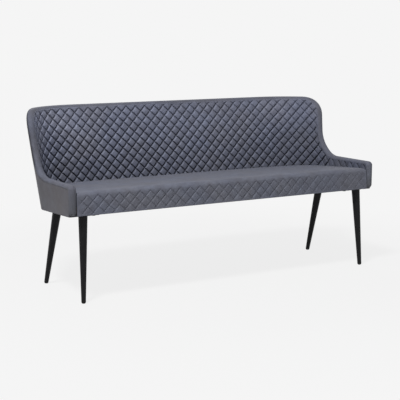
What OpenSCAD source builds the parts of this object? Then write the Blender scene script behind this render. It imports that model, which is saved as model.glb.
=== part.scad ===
// Upholstered bench with a quilted wrap-round back, low arms and four tapered steel legs.
// Millimetres. +X is to the right as seen from the front, the front faces -Y and +Z is up.
// Left and right in the names are as seen from the front.

/* [Overall] */
// Height of the back above the floor
back_h = 806; // [740:1:900]
// Depth from the arm fronts to the rear edge of the back
overall_d = 632; // [590:2:710]
// Width across the outsides of the arms at their fronts
arm_span = 1630; // [1320:2:2000]

/* [Shell] */
// Height of the arms above the floor
arm_h = 515; // [495:1:560]
// How much each side draws in from the arm front to the rear corner
side_draw = 28; // [10:1:40]
// How far each side leans out from the seat's underside to the top of the back
side_flare = 82; // [40:1:100]
// Lean of the back from the vertical, in degrees
back_lean = 11; // [6:0.5:16]
// Outer radius of the rear corners in plan, at the height of the seat's underside
corner_r = 200; // [170:1:230]
// How much that radius opens up from there to the top of the back
corner_open = 145; // [80:1:170]
// Level run of the arm before it sweeps up
arm_run = 266; // [200:1:280]
// Radius of the sweep from the arm into the wing
sweep_r = 150; // [110:1:160]
// Radius of the wing's top corner
wing_r = 110; // [80:5:140]

/* [Wall layers] */
// Thickness of the arms, outside to quilt crest
arm_t = 34; // [33:1:46]
// Thickness of the back at seat level
back_t = 60; // [50:1:80]
// Depth of the rounded edge roll that caps the wall
roll_d = 15; // [10:0.5:20]
// Diameter of the welt sewn along the edge roll
welt_d = 4; // [3:0.5:5]
// Thickness of the plain outside cover with its wadding
cover_t = 3; // [2:0.5:4]
// Thickness of the moulded plywood shell
ply_t = 9; // [8:0.5:12]
// Thickness of the quilted lining at its stitch lines
lining_t = 6; // [4:0.5:7]
// Rise of each quilted diamond above its stitch lines
puff = 6; // [3:0.5:7]

/* [Quilting] */
// Width of one quilted diamond
diamond_w = 50; // [40:1:60]
// Height of one quilted diamond
diamond_h = 50; // [40:1:60]
// Height of a row of stitch crossings above the floor
diamond_level = 450; // [440:1:460]
// Rise of the shallow diamonds on the seat's front panel
panel_puff = 2.5; // [1:0.5:3]

/* [Seat] */
// Height of the seat's underside at the front
underside_h = 382; // [360:1:400]
// Thickness of the seat from its underside to its top edge
seat_t = 102; // [95:1:112]
// Fall of the seat towards the back, in degrees
seat_fall = 4; // [2:0.5:6]
// Rise of the seat's crown in the middle
crown = 5; // [2:0.5:9]
// Radius of the cushion's rounded edge
edge_r = 18; // [12:1:22]
// Thickness of the seat's plain top cover
top_cover_t = 2; // [1.5:0.5:3]
// Thickness of the seat's front panel
panel_t = 7; // [6:0.5:9]

/* [Seat frame] */
// Thickness of the seat rails
rail_t = 22; // [18:1:24]
// Height of the seat rails
rail_h = 50; // [44:1:52]
// Height of the bearers and the stretcher
bearer_h = 40; // [30:1:42]
// Spacing of the front-to-back bearers
bearer_pitch = 380; // [300:5:420]
// Thickness of the leg blocks
block_t = 24; // [20:1:28]
// Width of the battens that join the arms to the back shell
batten_w = 50; // [36:1:54]
// Thickness of those battens
batten_t = 8; // [6:0.5:9]
// Length of those battens, down from the arms' rim
batten_h = 30; // [26:1:34]

/* [Webbing] */
// Width of the webbing straps
strap_w = 50; // [40:1:60]
// Thickness of the webbing straps
strap_t = 2; // [1.5:0.5:2.5]
// Spacing of the straps that run front to back
strap_pitch = 140; // [120:5:150]
// Spacing of the straps that run along the seat
long_strap_pitch = 110; // [95:5:120]

/* [Legs] */
// Diameter of a leg at the top
leg_top_d = 40; // [34:1:44]
// Diameter of a leg at its foot
leg_foot_d = 20; // [18:1:26]
// Wall of the leg tube
leg_wall = 1.5; // [1:0.25:2]
// How far the front feet stand in from the arms' outsides
front_foot_in = 62; // [52:1:74]
// How far the tops of the front legs stand in from the arms' outsides
front_head_in = 77; // [68:1:88]
// How far the front feet stand behind the arm fronts
front_foot_back = 14; // [12:1:40]
// How far the tops of the front legs stand behind the arm fronts
front_head_back = 40; // [38:1:60]
// How far the rear feet stand in from the arms' outsides
rear_foot_in = 69; // [56:1:82]
// How far the tops of the rear legs stand in from the arms' outsides
rear_head_in = 83; // [81:1:96]
// How far the rear feet stand forward of the back's rear edge
rear_foot_fore = 191; // [150:1:230]
// How far the tops of the rear legs stand forward of the back's rear edge
rear_head_fore = 304; // [290:1:330]

/* [Leg fixing] */
// Side of the square leg plate
plate_w = 90; // [84:1:94]
// Thickness of the leg plate
plate_t = 3; // [2:0.5:4]
// Distance from the plate's centre to its corner bolts, each way
bolt_out = 33; // [30:1:35]
// Distance from the plate's centre to the bolts beside the leg
bolt_near = 10; // [8:1:12]
// Bolt diameter
bolt_d = 8; // [6:1:8]
// Thickness of the glide between the tube's end and the floor
glide_h = 10; // [8:1:14]
// Length of the glide's plug inside the tube
plug_l = 14; // [10:1:20]
// Thickness of the dust cover
dust_t = 0.8; // [0.5:0.1:0.9]

/* [Clearances] */
// Clearance between layers that lie against each other
fit = 0.3; // [0.2:0.05:0.5]
// Radial clearance of the bolts in the tee nuts
thread_gap = 0.1; // [0.05:0.05:0.2]
// Clearance between the seat cushion and the quilted lining
seat_gap = 0.8; // [0.6:0.1:1.2]
// Clearance between the edge roll with its welt and the layers that end under it
roll_gap = 1; // [0.8:0.1:1.5]

/* [Hidden] */

cover_grey = [0.38, 0.38, 0.39];
quilt_grey = [0.36, 0.37, 0.42];
seat_grey = [0.43, 0.45, 0.49];
ply_tan = [0.76, 0.62, 0.42];
wood_tan = [0.80, 0.68, 0.48];
foam_cream = [0.93, 0.90, 0.78];
leg_black = [0.05, 0.05, 0.055];
zinc = [0.74, 0.75, 0.77];
web_black = [0.13, 0.13, 0.13];

// Places that the driving sizes give
front_y = -overall_d / 2;
quilt_back_d = arm_t - puff - lining_t;
ply_d = cover_t + fit;
core_d = ply_d + ply_t + fit;
rail_d = core_d + rail_t;
soft_inset = roll_d + roll_gap;
shell_inset = soft_inset + welt_d + fit;
front_r = roll_d + welt_d + fit;
rail_low = dust_t + fit;
rail_top = rail_low + rail_h;
deck_h = rail_top + 2 * strap_t + 3 * fit;
rail_front = panel_t + 2 * fit;
seat_rear_h = underside_h + seat_t - (overall_d - back_t - 65) * sin(seat_fall);

// Shares of the shell's height: 0 at the seat's underside, 1 at the top of the back
function lift(z) = (z - underside_h) / (back_h - underside_h);
// Half width of the outside at the rear corners
function rear_half(z) = arm_span / 2 - side_draw + side_flare * lift(z);
function corner_at(z) = corner_r + corner_open * lift(z);
// The outside of the back, which reaches the full depth at the foot of the edge roll
function rear_y(z) = front_y + overall_d - tan(back_lean) * (back_h - roll_d - z);
// The back is thickest at the seat and draws down to the arms' thickness at the top
function swell(z) = (back_t - arm_t) * (back_h - z) / (back_h - seat_rear_h);

// A point of the wall. n counts round the plan: 0 in the middle of the back, 1 to 2 round the
// corner, 3 at the arm's front, and negative on the left. d is the depth below the outside, and
// lined = 1 follows the quilted lining, which swells inwards at the back.
function wall(n, z, d, lined) =
    let (a = abs(n), s = sign(n), back_d = d + lined * swell(z), r = corner_at(z) - back_d,
         hw = rear_half(z) - d, fw = arm_span / 2 - d, by = rear_y(z) - back_d, ty = by - r)
    a <= 1 ? [s * a * (hw - r), by, z]
    : a <= 2 ? [s * (hw - r + r * sin(90 * (a - 1))), ty + r * cos(90 * (a - 1)), z]
    : [s * (hw + (fw - hw) * (a - 2)), ty + (front_y - ty) * (a - 2), z];

// The count n of the outside's point at depth y and height z, on the right
function count_at(y, z) =
    let (r = corner_at(z), ty = rear_y(z) - r)
    y <= ty ? 2 + (ty - y) / (ty - front_y) : 1 + acos(min(1, (y - ty) / r)) / 90;

// Half width inside the wall at depth y and height z
function reach(y, z, d, lined) =
    let (back_d = d + lined * swell(z), r = corner_at(z) - back_d, hw = rear_half(z) - d,
         fw = arm_span / 2 - d, ty = rear_y(z) - back_d - r)
    y <= ty ? hw + (fw - hw) * (ty - y) / (ty - front_y)
    : hw - r + sqrt(max(0, r * r - (y - ty) * (y - ty)));

// The seat's own frame starts at the front edge of its underside and falls towards the back
module seat_frame() {
    translate([0, front_y, underside_h]) rotate([-seat_fall, 0, 0]) children();
}
function to_seat(p) = [
    p[0],
    (p[1] - front_y) * cos(seat_fall) - (p[2] - underside_h) * sin(seat_fall),
    (p[1] - front_y) * sin(seat_fall) + (p[2] - underside_h) * cos(seat_fall)
];
function from_seat(p) = [
    p[0],
    front_y + p[1] * cos(seat_fall) + p[2] * sin(seat_fall),
    underside_h - p[1] * sin(seat_fall) + p[2] * cos(seat_fall)
];
// Height above the floor at which the wall meets the seat frame's level h
function foot_z(n, h, d, lined) =
    let (y0 = wall(n, underside_h, d, lined)[1],
         slope = (wall(n, underside_h + 100, d, lined)[1] - y0) / 100)
    underside_h + (h - (y0 - front_y) * sin(seat_fall))
        / (cos(seat_fall) + slope * sin(seat_fall));
function wall_at_level(n, h, d, lined) = wall(n, foot_z(n, h, d, lined), d, lined);

// The side view of the shell, moved in by b: round the arm's front, along the arm, up the sweep
// and over the wing
sweep_c = [front_y + arm_run, arm_h + sweep_r];
sweep_end_z = arm_h + sweep_r * (1 - sin(back_lean));
wing_start_z = back_h - wing_r * (1 - sin(back_lean));
wing_c = [
    sweep_c[0] + (sweep_r + wing_r) * cos(back_lean)
        + (wing_start_z - sweep_end_z) * tan(back_lean),
    back_h - wing_r
];
function arc(c, r, from, to, steps) = [
    for (k = [0:steps]) let (a = from + (to - from) * k / steps)
        [c[0] + r * cos(a), c[1] + r * sin(a)]
];
function front_bend(b) = max(front_r - b, 1);
function low_bend_c(b) = [front_y + b + front_bend(b), underside_h + b + front_bend(b)];
function top_bend_c(b) = [front_y + b + front_bend(b), arm_h - b - front_bend(b)];
bottom_steps = 3;
front_steps = 4;
level_steps = 5;
sweep_steps = 8;
wing_steps = 9;
corner_steps = 12;
function side_view(b) = concat(
    arc(low_bend_c(b), front_bend(b), 270, 180, bottom_steps),
    arc(top_bend_c(b), front_bend(b), 180, 90, front_steps),
    [for (k = [1:level_steps - 1]) let (y0 = top_bend_c(b)[0], t = k / level_steps)
        [y0 + (sweep_c[0] - y0) * t, arm_h - b]],
    arc(sweep_c, sweep_r + b, -90, -back_lean, sweep_steps),
    arc(wing_c, wing_r - b, 180 - back_lean, 90, wing_steps)
);
// Stations [n, z] along the right half of the rim, from under the arm's front to the back
function stations(b) =
    let (n_end = count_at(wing_c[0], back_h - b))
    concat(
        [for (p = side_view(b)) [count_at(p[0], p[1]), p[1]]],
        [for (k = [1:corner_steps]) [n_end + (1 - n_end) * k / corner_steps, back_h - b]]
    );
front_station = bottom_steps + 1;
sweep_station = front_station + front_steps + level_steps;
last_station = sweep_station + sweep_steps + 1 + wing_steps + corner_steps;
function part_of(list, from, to) = [for (k = [from:to]) list[k]];
function mirrored(list) = [for (k = [len(list) - 1:-1:0]) [-list[k][0], list[k][1]]];
function whole_rim(b) = concat(stations(b), mirrored(stations(b)));

// Height of the rim, moved in by b, at depth y in the side view
function rim_height(y, b) =
    let (r1 = sweep_r + b, r2 = wing_r - b, bend_c = top_bend_c(b),
         sweep_end = sweep_c[0] + r1 * cos(back_lean),
         wing_start = wing_c[0] - r2 * cos(back_lean))
    y <= bend_c[0] ? bend_c[1] + sqrt(max(0, pow(front_bend(b), 2) - pow(bend_c[0] - y, 2)))
    : y <= sweep_c[0] ? arm_h - b
    : y <= sweep_end ? sweep_c[1] - sqrt(max(0, r1 * r1 - pow(y - sweep_c[0], 2)))
    : y <= wing_start ? sweep_c[1] - r1 * sin(back_lean) + (y - sweep_end) / tan(back_lean)
    : y <= wing_c[0] ? wing_c[1] + sqrt(max(0, r2 * r2 - pow(wing_c[0] - y, 2)))
    : back_h - b;
// Height at which the line of constant n crosses that rim, by halving
function rim_z(n, b, low = underside_h, high = 2 * back_h, turn = 0) =
    let (z = (low + high) / 2)
    turn > 24 ? z
    : z < rim_height(wall(abs(n), z, 0, 0)[1], b) ? rim_z(n, b, z, high, turn + 1)
    : rim_z(n, b, low, z, turn + 1);

// Stations of a layer moved in by b, from the arm's front or the count from, back to the count to
function layer(b, from, to) = concat(
    from < 3 ? [[from, rim_z(from, b)]] : [],
    [for (s = part_of(stations(b), front_station, last_station))
        if (s[0] < from - step_n && s[0] > to + step_n) s],
    [[to, rim_z(to, b)]]
);
step_n = 0.002;

// Counts n of the joint between the arm panel and the shell, with its batten just ahead of the
// corner, and of the front ends of the rails
side_run = rear_y(underside_h) - corner_r - front_y;
batten_n = batten_w / 2 / side_run;
joint_n = 2 + batten_n + 4 / side_run;
function front_n(b) = 3 - b / side_run;

// A solid from closed rings of equally many points, with a fan at each end. The side that starts at
// the point turned is split along its other diagonal, so that the faces of neighbouring layers match.
function quad(a, b, c, d) = [[a, b, c], [a, c, d]];
module loft(rings, turned = -1) {
    m = len(rings[0]);
    last = (len(rings) - 1) * m;
    points = [for (ring = rings) each ring];
    sides = [
        for (i = [0:len(rings) - 2], j = [0:m - 1])
            let (a = i * m + j, b = i * m + (j + 1) % m, c = b + m, d = a + m)
            each (j == turned ? quad(b, c, d, a) : quad(a, b, c, d))
    ];
    ends = [for (j = [1:m - 2]) each [[0, j + 1, j], [last, last + j, last + j + 1]]];
    polyhedron(points, concat(sides, ends));
}

// A layer of the wall under the stations, between depths d0 and d1, down to the level h
module wall_panel(list, d0, lined0, d1, lined1, h) {
    loft([
        for (s = list) [
            wall_at_level(s[0], h, d0, lined0), wall(s[0], s[1], d0, lined0),
            wall(s[0], s[1], d1, lined1), wall_at_level(s[0], h, d1, lined1)
        ]
    ], turned = 2);
}
// A band that follows the wall between two levels of the seat frame
module wall_band(n0, n1, steps, d0, d1, h0, h1) {
    loft([
        for (k = [steps:-1:0]) let (n = n0 + (n1 - n0) * k / steps) [
            wall_at_level(n, h0, d0, 0), wall_at_level(n, h1, d0, 0),
            wall_at_level(n, h1, d1, 0), wall_at_level(n, h0, d1, 0)
        ]
    ], turned = 2);
}
// A closed section of [depth, inset] points swept along the whole rim
module rim_sweep(section) {
    lines = [for (p = section) whole_rim(p[1])];
    loft([
        for (k = [0:len(lines[0]) - 1]) [
            for (j = [0:len(section) - 1]) wall(lines[j][k][0], lines[j][k][1], section[j][0], 0)
        ]
    ]);
}
module left_of(flip) {
    if (flip) mirror([1, 0, 0]) children();
    else children();
}

// Legs
function underside_z(y) = underside_h - (y - front_y) * tan(seat_fall);
front_foot = [arm_span / 2 - front_foot_in, front_y + front_foot_back, 0];
front_head_y = front_y + front_head_back;
front_head = [arm_span / 2 - front_head_in, front_head_y, underside_z(front_head_y)];
rear_foot = [arm_span / 2 - rear_foot_in, front_y + overall_d - rear_foot_fore, 0];
rear_head_y = front_y + overall_d - rear_head_fore;
rear_head = [arm_span / 2 - rear_head_in, rear_head_y, underside_z(rear_head_y)];
big = 400;

// The leg's own frame has its origin on the floor and its axis up the leg
module along_leg(foot, head) {
    v = head - foot;
    translate(foot) rotate([0, acos(v[2] / norm(v)), atan2(v[1], v[0])]) children();
}
// The plate stands off the leg towards the middle of the seat
plate_off = plate_w / 2 - leg_top_d / 2;
function plate_centre(head, back) =
    let (p = to_seat(head)) [p[0] - plate_off, p[1] + back * plate_off];
function bolt_spots(head, back) =
    let (c = plate_centre(head, back))
    [
        [c[0] - bolt_out, c[1] + back * bolt_out],
        [c[0] - bolt_out, c[1] - back * bolt_near],
        [c[0] + bolt_near, c[1] + back * bolt_out]
    ];
module at_bolts(head, back) {
    for (p = bolt_spots(head, back)) translate([p[0], p[1], 0]) children();
}
module rounded_square(w, r) {
    square([w - 2 * r, w], center = true);
    square([w, w - 2 * r], center = true);
    for (sx = [-1, 1], sy = [-1, 1])
        translate([sx * (w / 2 - r), sy * (w / 2 - r)]) circle(r = r, $fn = 32);
}
bolt_hole_d = bolt_d + 1;
plate_corner_r = 6;
module leg(foot, head, back) {
    length = norm(head - foot);
    taper = (leg_top_d - leg_foot_d) / 2 / (length - glide_h);
    top = length + leg_top_d / 2;
    r_low = leg_foot_d / 2;
    r_top = r_low + taper * (top - glide_h);
    c = plate_centre(head, back);
    color(leg_black) union() {
        difference() {
            along_leg(foot, head)
                rotate_extrude($fn = 96)
                    polygon([
                        [r_low - leg_wall, glide_h], [r_low, glide_h],
                        [r_top, top], [r_top - leg_wall, top]
                    ]);
            seat_frame()
                translate([head[0] - big / 2, to_seat(head)[1] - big / 2, -plate_t / 2])
                    cube([big, big, big]);
        }
        seat_frame()
            translate([0, 0, -plate_t])
                difference() {
                    translate([c[0], c[1], 0])
                        linear_extrude(plate_t) rounded_square(plate_w, plate_corner_r);
                    at_bolts(head, back)
                        translate([0, 0, -1]) cylinder(d = bolt_hole_d, h = plate_t + 2, $fn = 48);
                }
    }
}
module glide(foot, head) {
    r = leg_foot_d / 2;
    centre = glide_h - 2;
    plug_r = r - leg_wall - fit / 2;
    color(web_black) difference() {
        along_leg(foot, head)
            rotate_extrude($fn = 96) {
                intersection() {
                    translate([0, centre]) circle(r = r, $fn = 96);
                    translate([0, centre - r]) square([r, r]);
                }
                translate([0, centre]) square([r, glide_h - centre]);
                translate([0, centre]) square([plug_r, glide_h - centre + plug_l]);
            }
        translate([foot[0] - big / 2, foot[1] - big / 2, -big]) cube([big, big, big]);
    }
}
leg_heads = [[front_head, 1], [rear_head, -1]];

// Leg fixing
bolt_head_h = 5;
bolt_head_af = 13;
bolt_flange_d = 17;
bolt_flange_t = 1.5;
nut_flange_d = 20;
nut_flange_t = 1.5;
nut_barrel_d = bolt_d + 2;
nut_barrel_h = 9;
block_top = rail_low + block_t;
module leg_bolts() {
    color(zinc) for (sx = [0, 1], leg = leg_heads)
        left_of(sx == 1) seat_frame() at_bolts(leg[0], leg[1]) {
            translate([0, 0, -plate_t]) cylinder(d = bolt_d, h = plate_t + block_top + 4, $fn = 48);
            translate([0, 0, -plate_t - bolt_flange_t])
                cylinder(d = bolt_flange_d, h = bolt_flange_t, $fn = 48);
            translate([0, 0, -plate_t - bolt_head_h])
                cylinder(d = bolt_head_af / cos(30), h = bolt_head_h - bolt_flange_t, $fn = 6);
        }
}
module tee_nuts() {
    color(zinc) for (sx = [0, 1], leg = leg_heads)
        left_of(sx == 1) seat_frame() at_bolts(leg[0], leg[1])
            difference() {
                union() {
                    translate([0, 0, block_top]) cylinder(d = nut_flange_d, h = nut_flange_t, $fn = 48);
                    translate([0, 0, block_top - nut_barrel_h])
                        cylinder(d = nut_barrel_d, h = nut_barrel_h + nut_flange_t, $fn = 48);
                }
                translate([0, 0, block_top - nut_barrel_h - 1])
                    cylinder(d = bolt_d + 2 * thread_gap, h = nut_barrel_h + nut_flange_t + 2, $fn = 48);
            }
}
// Inside face of the side rails at the depth y of the seat frame
function rail_face(y) = let (p = from_seat([0, y, rail_low])) reach(p[1], p[2], rail_d, 0);
block_over = 4;
front_rail_back = rail_front + rail_t;
module leg_block(head, back) {
    c = plate_centre(head, back);
    y0 = back > 0 ? front_rail_back + fit : c[1] - plate_w / 2 - block_over;
    y1 = back > 0 ? c[1] + plate_w / 2 + block_over : stretcher_front - fit;
    x0 = c[0] - plate_w / 2 - block_over;
    color(wood_tan) seat_frame() difference() {
        translate([x0, y0, rail_low]) cube([rail_face(y1) - fit - x0, y1 - y0, block_t]);
        at_bolts(head, back)
            translate([0, 0, rail_low - 1])
                cylinder(d = nut_barrel_d + fit, h = block_t + 2, $fn = 48);
    }
}

// Seat frame
stretcher_front = plate_centre(rear_head, -1)[1] + plate_w / 2 + block_over + fit;
bearer_low = rail_low;
lap_h = bearer_low + bearer_h / 2;
module front_rail() {
    x1 = rail_face(front_rail_back) - fit;
    color(wood_tan) seat_frame()
        translate([-x1, rail_front, rail_low]) cube([2 * x1, rail_t, rail_h]);
}
module rear_rail() {
    color(wood_tan) wall_band(-1, 1, 2, core_d, rail_d, rail_low, rail_top);
}
module side_rail() {
    color(wood_tan) wall_band(2, front_n(shell_inset), 1, core_d, rail_d, rail_low, rail_top);
}
module corner_rail() {
    color(ply_tan) wall_band(1, 2, 10, core_d, rail_d, rail_low, rail_top);
}
module stretcher() {
    x1 = rail_face(stretcher_front + rail_t) - fit;
    color(wood_tan) seat_frame() difference() {
        translate([-x1, stretcher_front, bearer_low]) cube([2 * x1, rail_t, bearer_h]);
        for (k = [-1:1])
            translate([k * bearer_pitch - rail_t / 2 - fit, stretcher_front - 1, bearer_low - 1])
                cube([rail_t + 2 * fit, rail_t + 2, lap_h - bearer_low + 1]);
    }
}
module bearer(k) {
    y0 = front_rail_back + fit;
    y1 = to_seat(wall_at_level(0, bearer_low, rail_d, 0))[1] - fit;
    color(wood_tan) seat_frame() translate([k * bearer_pitch - rail_t / 2, 0, 0]) difference() {
        translate([0, y0, bearer_low]) cube([rail_t, y1 - y0, bearer_h]);
        translate([-1, stretcher_front - fit, lap_h - fit])
            cube([rail_t + 2, rail_t + 2 * fit, bearer_h]);
    }
}

// Webbing: flat straps from front to back, with the long straps woven over and under them
strap_count = 2 * floor((arm_span / 2 - rail_d - strap_w / 2 - 60) / strap_pitch) + 1;
cross_rear = to_seat(wall_at_level(0, rail_top, rail_d, 0))[1] + rail_t * 0.6;
long_rows = 3;
function strap_x(k) = (k - (strap_count - 1) / 2) * strap_pitch;
weave = strap_t + fit / 2;
module cross_webbing() {
    color(web_black) seat_frame() for (k = [0:strap_count - 1])
        translate([strap_x(k) - strap_w / 2, rail_front + 4, rail_top])
            cube([strap_w, cross_rear - rail_front - 4, strap_t]);
}
module long_webbing() {
    color(web_black) seat_frame() for (row = [0:long_rows - 1]) {
        y = front_rail_back + 30 + long_strap_pitch * (row + 0.5);
        edge = rail_face(y + strap_w);
        line = concat(
            [[-edge - rail_t * 0.6, 0], [-edge + 8, 0]],
            [for (k = [0:strap_count - 1], s = [-1, 1])
                [strap_x(k) + s * (strap_w / 2 + 2), ((k + row) % 2 == 0 ? 1 : -1) * weave]],
            [[edge - 8, 0], [edge + rail_t * 0.6, 0]]
        );
        translate([0, y + strap_w / 2, rail_top]) rotate([90, 0, 0]) linear_extrude(strap_w)
            polygon(concat(line, [for (k = [len(line) - 1:-1:0]) line[k] + [0, strap_t]]));
    }
}
// The outline of the underside, moved in by d, in the seat's own frame
function underside_outline(d) =
    let (turns = [for (k = [0:12]) 1 + k / 12], ends = [front_n(rail_front)],
         right = concat(turns, ends))
    concat(
        [for (k = [len(right) - 1:-1:0]) right[k]], [for (n = right) -n]
    );
module dust_cover() {
    inset = cover_t + 2 * fit;
    outline = [
        for (n = underside_outline(inset))
            let (p = to_seat(wall_at_level(n, 0, inset, 0))) [p[0], p[1]]
    ];
    color(web_black) seat_frame() difference() {
        linear_extrude(dust_t) polygon(outline);
        for (sx = [0, 1], leg = leg_heads)
            left_of(sx == 1) at_bolts(leg[0], leg[1])
                translate([0, 0, -1]) cylinder(d = bolt_hole_d, h = dust_t + 2, $fn = 48);
    }
}

// Seat cushion. Columns and rows are [share, distance from the edge]: the border ones keep their
// distance from the edge, and the rest spread evenly between them.
cushion_front = 0.5;
edge_steps = [0, 0.12, 0.42, 1];
function border(from) = [for (s = edge_steps) [from, s * edge_r]];
function flipped(list) = [for (k = [len(list) - 1:-1:0]) list[k]];
inner_columns = 10;
inner_rows = 7;
columns = concat(
    border(-1), [for (k = [1:inner_columns - 1]) [2 * k / inner_columns - 1, edge_r]],
    flipped(border(1))
);
rows = concat(
    border(0), [for (k = [1:inner_rows - 1]) [sin(90 * k / inner_rows), edge_r]], flipped(border(1))
);
// Half width and rear end of the seat at the level h, moved in by a
function seat_reach(y, h, a) =
    let (p = from_seat([0, y, h])) reach(p[1], p[2], arm_t + seat_gap + a, 1);
function seat_rear(h, a) = to_seat(wall_at_level(0, h, arm_t + seat_gap, 1))[1] - a;
// Where a point of the border stands inside the cushion's rounded corner: 0 at the top of the
// edge's curve, and a length of 1 at its foot
function on_curve(column, row) =
    let (px = 1 - column[1] / edge_r, py = 1 - row[1] / edge_r)
    [px * sqrt(1 - py * py / 2), py * sqrt(1 - px * px / 2)];
// Depth in the seat frame, between the ends y0 and y1, with the edge's curve of radius r
function row_y(row, q, y0, y1, r) =
    row[0] == 0 ? y0 + r * (1 - q[1]) : row[0] == 1 ? y1 - r * (1 - q[1])
    : y0 + r + row[0] * (y1 - y0 - 2 * r);
// A point of the cushion's skin, moved in by a, that starts at the depth y0
function cushion_point(column, row, a, y0) =
    let (r = edge_r - a, q = on_curve(column, row), y = row_y(row, q, y0, seat_rear(seat_t, a), r),
         x = column[0] * (seat_reach(y, seat_t, a) - r * (1 - q[0])),
         drop = r * (1 - sqrt(max(0, 1 - q * q))),
         swell_x = 1 - pow(column[0], 4), swell_y = 1 - pow(2 * row[0] - 1, 4))
    [x, y, seat_t - a - drop + crown * swell_x * swell_y];
function cushion_skin(a, y0) = [for (row = rows, column = columns) cushion_point(column, row, a, y0)];
grid_w = len(columns);
grid_h = len(rows);
// Each cell is split along the diagonal that runs towards the nearest corner of the grid
function grid_faces(base, up) = [
    for (j = [0:grid_h - 2], i = [0:grid_w - 2])
        let (a = base + j * grid_w + i, b = a + 1, c = b + grid_w, d = a + grid_w,
             turned = (2 * i < grid_w - 1) != (2 * j < grid_h - 1),
             q = turned ? [b, c, d, a] : [a, b, c, d])
        each (up ? quad(q[0], q[3], q[2], q[1]) : quad(q[0], q[1], q[2], q[3]))
];
// Indices of the grid's border, going round it once
function grid_border(base) = concat(
    [for (i = [0:grid_w - 2]) base + i],
    [for (j = [0:grid_h - 2]) base + j * grid_w + grid_w - 1],
    [for (i = [grid_w - 1:-1:1]) base + (grid_h - 1) * grid_w + i],
    [for (j = [grid_h - 1:-1:1]) base + j * grid_w]
);
function ring_faces(upper, lower) = [
    for (k = [0:len(upper) - 1])
        let (next = (k + 1) % len(upper)) each quad(upper[k], upper[next], lower[next], lower[k])
];
module seat_cover() {
    count = grid_w * grid_h;
    color(seat_grey) seat_frame() polyhedron(
        concat(
            cushion_skin(0, cushion_front), cushion_skin(top_cover_t, cushion_front + top_cover_t)
        ),
        concat(
            grid_faces(0, true), grid_faces(count, false),
            ring_faces(grid_border(0), grid_border(count))
        )
    );
}
// A point of the foam block's sole at the level h, under the skin moved in by a
function sole_point(column, row, h, a) =
    let (r = edge_r - a, q = on_curve(column, row), y = row_y(row, q, rail_front, seat_rear(h, a), r))
    [column[0] * (seat_reach(y, h, a) - r * (1 - q[0])), y, h];
module seat_foam() {
    a = top_cover_t + fit;
    count = grid_w * grid_h;
    sole = [for (row = rows, column = columns) sole_point(column, row, deck_h, a)];
    color(foam_cream) seat_frame() polyhedron(
        concat(cushion_skin(a, rail_front), sole),
        concat(
            grid_faces(0, true), grid_faces(count, false),
            ring_faces(grid_border(0), grid_border(count))
        )
    );
}

// Quilting. A grid of points follows the stitch lines: low where they cross, high between them.
// starts and ends are the first and last row of each column, front gives a point of the quilted
// face, and rear the lower and upper points of the flat face behind it.
function pillow(s, z) =
    let (u = s / diamond_w + z / diamond_h, v = s / diamond_w - z / diamond_h,
         du = abs(u - round(u)), dv = abs(v - round(v)))
    sqrt(4 * du * dv);
function running(list) = [for (k = 0, s = 0; k < len(list); s = s + list[k], k = k + 1) s];
function whole_faces(list) = [for (f = list) if (f[0] != f[1] && f[1] != f[2] && f[2] != f[0]) f];
module quilt(first, starts, ends, front, rear) {
    n = len(starts);
    heights = [for (i = [0:n - 1]) ends[i] - starts[i] + 1];
    base = running(heights);
    total = base[n - 1] + heights[n - 1];
    function id(i, j) = base[i] + max(starts[i], min(ends[i], j)) - starts[i];
    points = concat(
        [for (i = [0:n - 1], j = [starts[i]:ends[i]]) front(i, j)],
        [for (i = [0:n - 1]) each [rear(i, 0), rear(i, 1)]]
    );
    face = [
        for (i = [0:n - 2], j = [min(starts[i], starts[i + 1]):max(ends[i], ends[i + 1]) - 1])
            let (a = id(i, j), b = id(i + 1, j), c = id(i + 1, j + 1), d = id(i, j + 1))
            each ((first + i + j) % 2 == 0 ? [[a, c, b], [a, d, c]] : [[a, d, b], [b, d, c]])
    ];
    low = [for (i = [0:n - 1]) id(i, starts[i])];
    high = [for (i = [0:n - 1]) id(i, ends[i])];
    flat_low = [for (i = [0:n - 1]) total + 2 * i];
    flat_high = [for (i = [0:n - 1]) total + 2 * i + 1];
    rim = [
        for (i = [0:n - 2]) each concat(
            quad(flat_low[i], flat_low[i + 1], flat_high[i + 1], flat_high[i]),
            quad(low[i], low[i + 1], flat_low[i + 1], flat_low[i]),
            quad(flat_high[i], flat_high[i + 1], high[i + 1], high[i])
        )
    ];
    cheeks = [
        for (e = [0, n - 1]) each concat(
            [for (j = [starts[e]:ends[e] - 1])
                e == 0 ? [flat_low[e], id(e, j + 1), id(e, j)] : [flat_low[e], id(e, j), id(e, j + 1)]],
            [e == 0 ? [flat_low[e], flat_high[e], high[e]] : [flat_low[e], high[e], flat_high[e]]]
        )
    ];
    polyhedron(points, concat(whole_faces(face), rim, cheeks));
}
// The lining's run from the middle of the back, measured at mid height
run_z = (back_h + arm_h) / 2;
run_r = corner_at(run_z) - arm_t - swell(run_z);
run_back = rear_half(run_z) - arm_t - run_r;
run_corner = run_r * PI / 2;
run_side = rear_y(run_z) - arm_t - swell(run_z) - run_r - front_y;
run_end = run_back + run_corner + run_side - soft_inset;
function count_of_run(s) =
    let (a = abs(s))
    sign(s) * (a <= run_back ? a / run_back
    : a <= run_back + run_corner ? 1 + (a - run_back) / run_corner
    : 2 + (a - run_back - run_corner) / run_side);
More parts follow.
